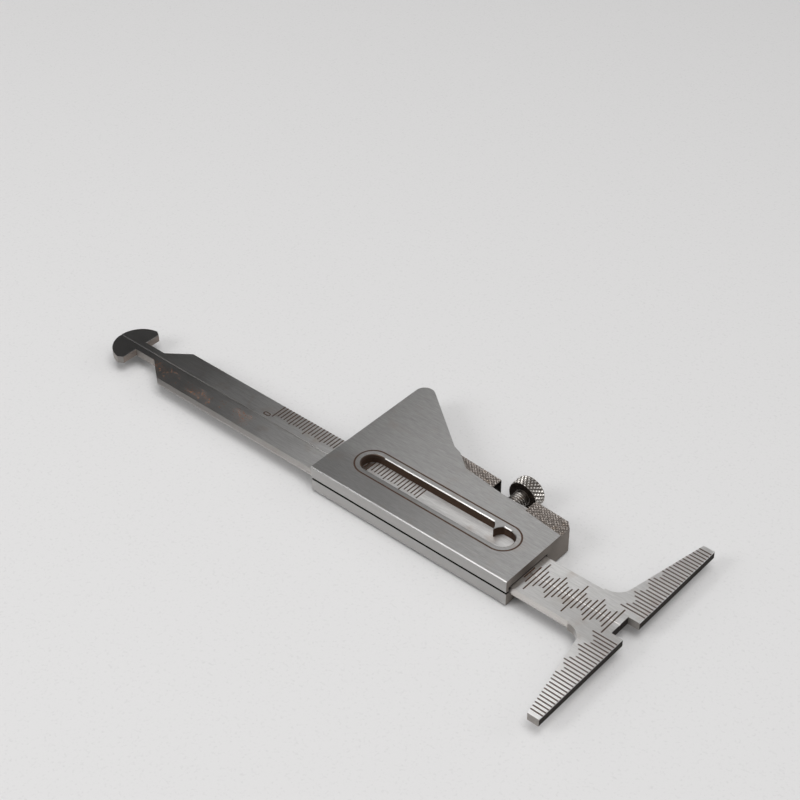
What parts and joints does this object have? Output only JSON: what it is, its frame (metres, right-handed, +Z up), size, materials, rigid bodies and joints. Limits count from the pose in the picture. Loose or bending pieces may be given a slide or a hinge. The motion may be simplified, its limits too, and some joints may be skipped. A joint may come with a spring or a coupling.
{
  "type": "weld gauge",
  "caption": "Twin-bar sliding weld gauge: hooked bars with split cross arms run through a slit body with a scale window, a pointed nose and a knurled locking screw.",
  "frame": {"origin": "middle of the body's flat bottom face, on the line where the two bars meet", "axes": "+X along the bars to the cross arms, +Y to the thumb screw, +Z up through the scale window"},
  "size_m": [0.1576, 0.0633, 0.008],
  "materials": {
    "body_steel": "fine brushed along the bars",
    "bar_steel": "ground flat, etched millimetre scales",
    "screw_steel": "turned, diamond knurled head",
    "pad_brass": "turned"
  },
  "bodies": {
    "slide_body": {"slide_body": "body_steel"},
    "front_bar": {"front_bar": "bar_steel"},
    "rear_bar": {"rear_bar": "bar_steel"},
    "clamp_pad": {"clamp_pad": "pad_brass"},
    "thumb_screw": {"thumb_screw": "screw_steel"}
  },
  "joints": [
    {"name": "front_bar_slide", "type": "slide", "parent": "slide_body", "child": "front_bar", "axis": [1, 0, 0], "range_m": [-0.0152, 0.0661]},
    {"name": "rear_bar_slide", "type": "slide", "parent": "slide_body", "child": "rear_bar", "axis": [1, 0, 0], "range_m": [-0.0152, 0.0661]},
    {"name": "clamp_pad_slide", "type": "slide", "parent": "slide_body", "child": "clamp_pad", "axis": [0, 1, 0], "range_m": [0, 0.001]},
    {"name": "thumb_screw_turn", "type": "hinge", "parent": "clamp_pad", "child": "thumb_screw", "pos_m": [0.0123, 0.0188, 0.0035], "axis": [0, 1, 0], "range_deg": [0, 515]}
  ],
  "couplings": [
    {"joint": "thumb_screw_turn", "follows": "clamp_pad_slide", "rad_per_m": 8976}
  ]
}
